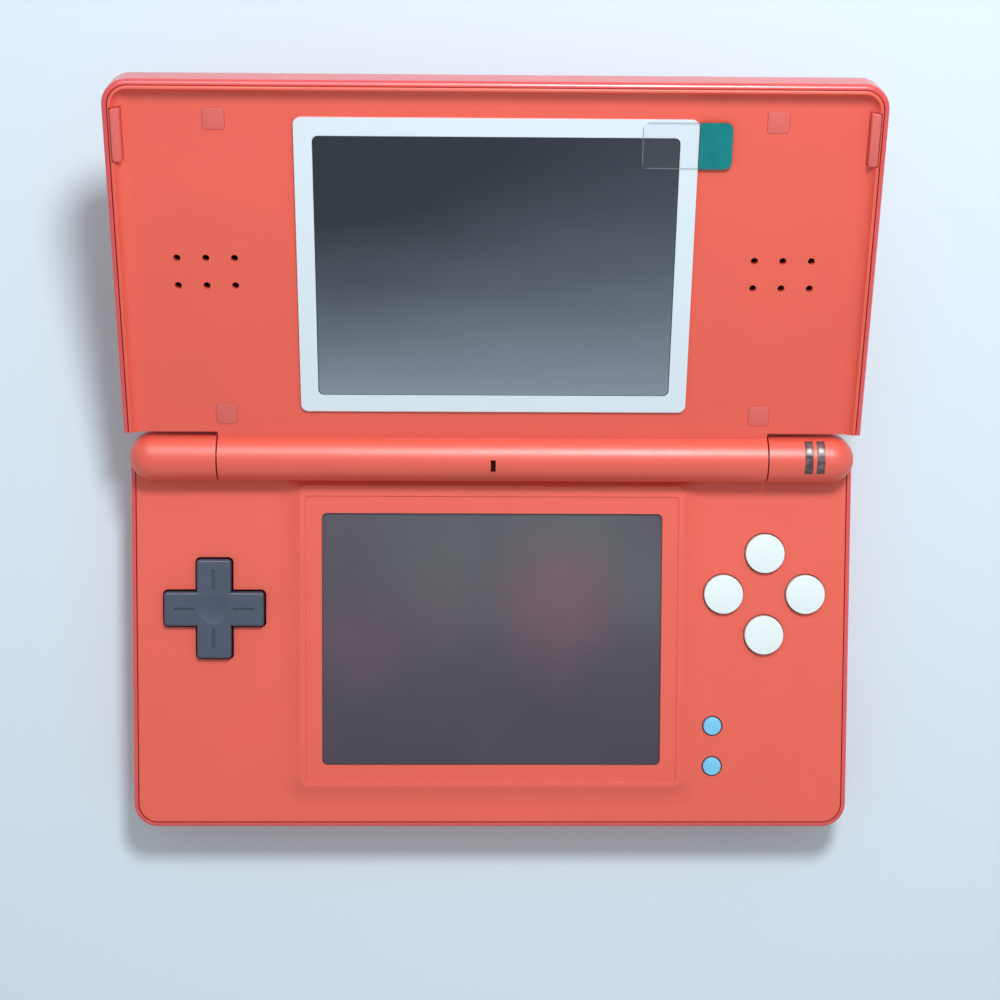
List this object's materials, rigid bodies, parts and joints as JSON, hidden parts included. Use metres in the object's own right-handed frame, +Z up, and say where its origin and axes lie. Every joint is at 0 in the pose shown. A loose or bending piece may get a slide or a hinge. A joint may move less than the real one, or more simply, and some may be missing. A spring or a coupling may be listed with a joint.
{
  "type": "clamshell handheld game console",
  "caption": "Clamshell handheld console: flat base with controls and touch screen, lid with second screen, joined by a full-width barrel hinge.",
  "frame": {"origin": "centre of the open console's footprint, on the surface its base lies on", "axes": "+X along the hinge to the player's right, +Y from the front edge to the rear, +Z up out of the base's face"},
  "size_m": [0.133, 0.1358, 0.0407],
  "materials": {
    "glossy_shell": "glossy moulded outer shells",
    "matte_shell": "fine matte moulded inner covers",
    "white_plastic": "satin white plastic",
    "blue_plastic": "satin light blue plastic",
    "slate_plastic": "satin slate grey plastic",
    "white_frame": "white frame",
    "screen_glass": "clear screen lens",
    "touch_glass": "satin touch film",
    "display": "switched-off display",
    "light_pipe": "frosted light pipe",
    "rubber": "tinted rubber pads",
    "silicone": "silicone membrane",
    "film": "clear peel-off film",
    "teal_film": "teal pull tab",
    "steel": "plated steel",
    "board": "circuit board",
    "black_plastic": "black moulded plastic",
    "battery_wrap": "battery casing",
    "flex_film": "flat flexible cable"
  },
  "bodies": {
    "base": {"bottom_cover": "glossy_shell", "top_cover": "matte_shell", "battery_cover": "glossy_shell", "battery_cover_screw": "steel", "bottom_screws": "steel", "rubber_feet": "rubber", "touch_panel": "touch_glass", "lower_lcd": "display", "main_board": "board", "wireless_module": "steel", "battery": "battery_wrap", "cartridge_connector": "black_plastic", "card_slot_connector": "steel", "face_membrane": "silicone", "small_membrane": "silicone", "power_switch_body": "black_plastic", "volume_control_body": "black_plastic", "headphone_jack": "black_plastic", "charging_socket": "black_plastic", "status_light_pipes": "light_pipe", "hinge_unit": "steel", "hinge_bushing": "steel", "shoulder_pins": "steel", "shoulder_spring_left": "steel", "shoulder_spring_right": "steel"},
    "lid": {"lid_inner_cover": "matte_shell", "lid_outer_cover": "glossy_shell", "screen_frame": "white_frame", "screen_window": "screen_glass", "upper_lcd": "display", "display_flex": "flex_film", "speaker_left": "black_plastic", "speaker_right": "black_plastic", "microphone": "steel", "lid_screws": "steel", "screw_cover_pads": "rubber", "side_bumpers": "rubber", "hinge_shaft_left": "steel", "hinge_shaft_right": "steel", "protective_film": "film", "film_pull_tab": "teal_film"},
    "dpad_rocker": {"dpad_membrane": "silicone"},
    "dpad": {"dpad": "slate_plastic"},
    "button_top": {"button_top": "white_plastic"},
    "button_right": {"button_right": "white_plastic"},
    "button_bottom": {"button_bottom": "white_plastic"},
    "button_left": {"button_left": "white_plastic"},
    "start_button": {"start_button": "blue_plastic"},
    "select_button": {"select_button": "blue_plastic"},
    "shoulder_button_left": {"shoulder_button_left": "matte_shell"},
    "shoulder_button_right": {"shoulder_button_right": "matte_shell"},
    "power_switch": {"power_switch_knob": "white_plastic"},
    "volume_slider": {"volume_knob": "white_plastic"},
    "stylus": {"stylus": "white_plastic", "stylus_tip": "white_plastic"},
    "dust_cover": {"cartridge_dust_cover": "matte_shell"}
  },
  "joints": [
    {"name": "lid_hinge", "type": "hinge", "parent": "base", "child": "lid", "pos_m": [0, 0.00145, 0.01525], "axis": [1, 0, 0], "range_deg": [0, 160.5]},
    {"name": "dpad_tilt_front_back", "type": "hinge", "parent": "base", "child": "dpad_rocker", "pos_m": [-0.0512, -0.02675, 0.0085], "axis": [1, 0, 0], "range_deg": [-3, 3], "stiffness_Nm_per_rad": 0.05, "deforming": ["dpad_membrane"]},
    {"name": "dpad_tilt_left_right", "type": "hinge", "parent": "dpad_rocker", "child": "dpad", "pos_m": [-0.0512, -0.02675, 0.0085], "axis": [0, 1, 0], "range_deg": [-3, 3], "stiffness_Nm_per_rad": 0.05},
    {"name": "button_top_press", "type": "slide", "parent": "base", "child": "button_top", "axis": [0, 0, -1], "range_m": [0, 0.0009], "stiffness_N_per_m": 200, "deforming": ["face_membrane"]},
    {"name": "button_right_press", "type": "slide", "parent": "base", "child": "button_right", "axis": [0, 0, -1], "range_m": [0, 0.0009], "stiffness_N_per_m": 200},
    {"name": "button_bottom_press", "type": "slide", "parent": "base", "child": "button_bottom", "axis": [0, 0, -1], "range_m": [0, 0.0009], "stiffness_N_per_m": 200},
    {"name": "button_left_press", "type": "slide", "parent": "base", "child": "button_left", "axis": [0, 0, -1], "range_m": [0, 0.0009], "stiffness_N_per_m": 200},
    {"name": "start_press", "type": "slide", "parent": "base", "child": "start_button", "axis": [0, 0, -1], "range_m": [0, 0.0005], "stiffness_N_per_m": 200, "deforming": ["small_membrane"]},
    {"name": "select_press", "type": "slide", "parent": "base", "child": "select_button", "axis": [0, 0, -1], "range_m": [0, 0.0005], "stiffness_N_per_m": 200},
    {"name": "shoulder_left_press", "type": "hinge", "parent": "base", "child": "shoulder_button_left", "pos_m": [-0.0523, 0.00145, 0.0065], "axis": [0, 0, 1], "range_deg": [0, 3.2], "stiffness_Nm_per_rad": 0.1, "deforming": ["shoulder_spring_left"]},
    {"name": "shoulder_right_press", "type": "hinge", "parent": "base", "child": "shoulder_button_right", "pos_m": [0.0523, 0.00145, 0.0065], "axis": [0, 0, -1], "range_deg": [0, 3.2], "stiffness_Nm_per_rad": 0.1, "deforming": ["shoulder_spring_right"]},
    {"name": "power_switch_slide", "type": "slide", "parent": "base", "child": "power_switch", "axis": [0, 1, 0], "range_m": [0, 0.002], "stiffness_N_per_m": 100},
    {"name": "volume_slide", "type": "slide", "parent": "base", "child": "volume_slider", "axis": [1, 0, 0], "range_m": [-0.004, 0.004]},
    {"name": "stylus_slide", "type": "slide", "parent": "base", "child": "stylus", "axis": [1, 0, 0], "range_m": [0, 0.088]},
    {"name": "dust_cover_slide", "type": "slide", "parent": "base", "child": "dust_cover", "axis": [0, -1, 0], "range_m": [0, 0.022]}
  ]
}
